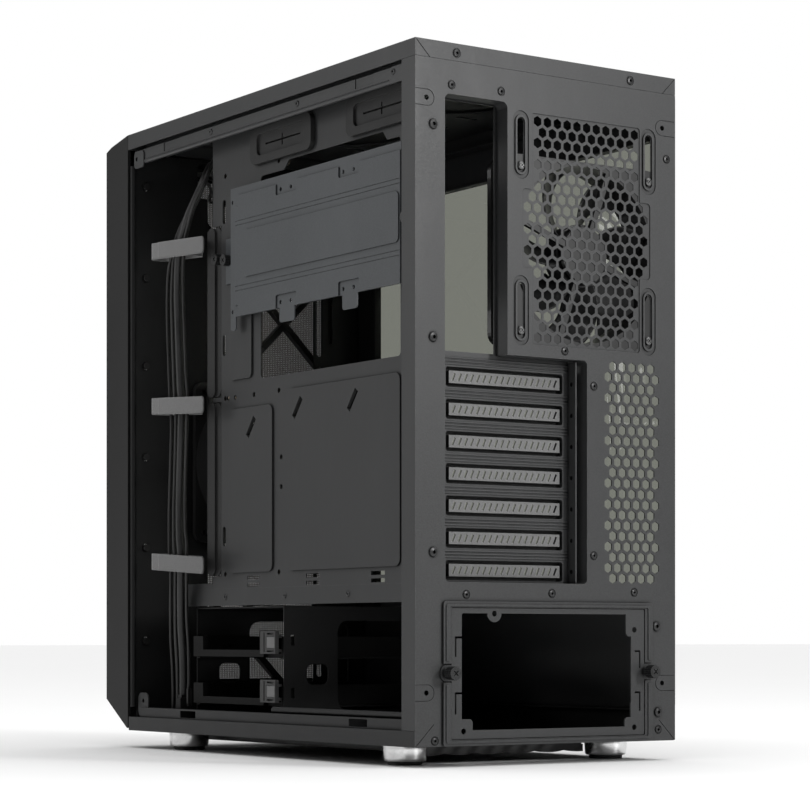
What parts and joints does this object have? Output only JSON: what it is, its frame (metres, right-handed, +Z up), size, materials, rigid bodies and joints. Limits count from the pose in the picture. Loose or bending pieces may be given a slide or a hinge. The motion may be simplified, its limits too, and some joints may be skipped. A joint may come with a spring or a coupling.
{
  "type": "desktop computer tower",
  "caption": "Empty mid-tower computer chassis with glass side, open cable side, sunk slot plate, fans, filters, drive sleds and chrome feet.",
  "frame": {"origin": "bottom centre of the bounding box, on the floor", "axes": "+X open side, -X glass side, +Y rear, -Y front, +Z up"},
  "size_m": [0.2171, 0.4198, 0.453],
  "materials": {
    "case_steel": "fine black powder coat",
    "bracket_steel": "smooth dark grey powder coat",
    "slot_steel": "mid-grey powder coat",
    "black_plastic": "black moulded plastic",
    "grey_plastic": "grey moulded plastic",
    "strap_fabric": "grey brushed hook-and-loop strap",
    "black_rubber": "soft black rubber",
    "black_metal": "blackened steel",
    "screw_steel": "dark zinc plate",
    "fan_plastic": "satin black plastic",
    "bezel_plastic": "fine textured dark plastic",
    "mesh_metal": "fine woven steel",
    "circuit_board": "green lacquered board",
    "port_metal": "plated port shell",
    "tinted_glass": "smoke tinted tempered glass",
    "filter_mesh": "fine nylon mesh",
    "foot_chrome": "bright chrome",
    "cable_sheath": "black cable sheath",
    "brass": "bright brass"
  },
  "bodies": {
    "chassis": {"rear_panel": "case_steel", "base_pan": "case_steel", "top_panel": "case_steel", "side_rail_open": "case_steel", "side_rail_glass": "case_steel", "front_frame": "case_steel", "motherboard_tray": "case_steel", "psu_shroud": "case_steel", "hdd_cage": "case_steel", "ssd_bracket": "bracket_steel", "ssd_thumbscrews": "black_metal", "tray_grommets": "black_rubber", "cable_edge_trims": "black_rubber", "slot_cover_1": "slot_steel", "slot_cover_2": "slot_steel", "slot_cover_3": "slot_steel", "slot_cover_4": "slot_steel", "slot_cover_5": "slot_steel", "slot_cover_6": "slot_steel", "slot_cover_7": "slot_steel", "slot_screws": "black_metal", "psu_bracket": "case_steel", "psu_thumbscrews": "black_metal", "rear_fan_frame": "fan_plastic", "rear_fan_screws": "screw_steel", "front_fan_frame": "fan_plastic", "front_fan_screws": "screw_steel", "io_panel": "black_plastic", "io_board": "circuit_board", "usb_ports": "port_metal", "audio_jacks": "black_plastic", "feet": "foot_chrome", "foot_pads": "black_rubber", "cable_strap_upper": "strap_fabric", "cable_strap_middle": "strap_fabric", "cable_strap_lower": "strap_fabric", "port_cable": "cable_sheath", "panel_wires": "cable_sheath", "cable_connectors": "black_plastic", "blind_rivets": "black_metal", "motherboard_standoffs": "brass"},
    "sled_upper": {"hdd_sled_upper": "black_plastic", "hdd_latch_upper": "grey_plastic"},
    "sled_lower": {"hdd_sled_lower": "black_plastic", "hdd_latch_lower": "grey_plastic"},
    "rear_rotor": {"rear_fan_rotor": "fan_plastic"},
    "front_rotor": {"front_fan_rotor": "fan_plastic"},
    "front_cover": {"front_bezel": "bezel_plastic", "bezel_lattice": "black_plastic", "front_mesh": "mesh_metal"},
    "power": {"power_button": "black_plastic"},
    "reset": {"reset_button": "black_plastic"},
    "glass_side": {"glass_panel": "tinted_glass", "glass_grommets": "black_rubber", "glass_thumbscrews": "black_metal"},
    "top_filter": {"top_filter_frame": "black_plastic", "top_filter_mesh": "filter_mesh"},
    "base_filter": {"base_filter_frame": "black_plastic", "base_filter_mesh": "filter_mesh"}
  },
  "joints": [
    {"name": "rear_fan_spin", "type": "hinge", "parent": "chassis", "child": "rear_rotor", "pos_m": [-0.0263, 0.18, 0.3295], "axis": [0, 1, 0], "continuous": true},
    {"name": "front_fan_spin", "type": "hinge", "parent": "chassis", "child": "front_rotor", "pos_m": [-0.004, -0.158, 0.213], "axis": [0, 1, 0], "continuous": true},
    {"name": "power_press", "type": "slide", "parent": "chassis", "child": "power", "axis": [0, 0, -1], "range_m": [0, 0.0012], "stiffness_N_per_m": 600},
    {"name": "reset_press", "type": "slide", "parent": "chassis", "child": "reset", "axis": [0, 0, -1], "range_m": [0, 0.0012], "stiffness_N_per_m": 600},
    {"name": "base_filter_slide", "type": "slide", "parent": "chassis", "child": "base_filter", "axis": [0, 1, 0], "range_m": [0, 0.26]},
    {"name": "upper_sled_slide", "type": "slide", "parent": "chassis", "child": "sled_upper", "axis": [1, 0, 0], "range_m": [0, 0.16]},
    {"name": "lower_sled_slide", "type": "slide", "parent": "chassis", "child": "sled_lower", "axis": [1, 0, 0], "range_m": [0, 0.16]},
    {"name": "top_filter_lift", "type": "slide", "parent": "chassis", "child": "top_filter", "axis": [0, 0, 1], "range_m": [0, 0.04]},
    {"name": "glass_lift_off", "type": "slide", "parent": "chassis", "child": "glass_side", "axis": [-1, 0, 0], "range_m": [0, 0.04]},
    {"name": "front_cover_pull", "type": "slide", "parent": "chassis", "child": "front_cover", "axis": [0, -1, 0], "range_m": [0, 0.05]}
  ]
}
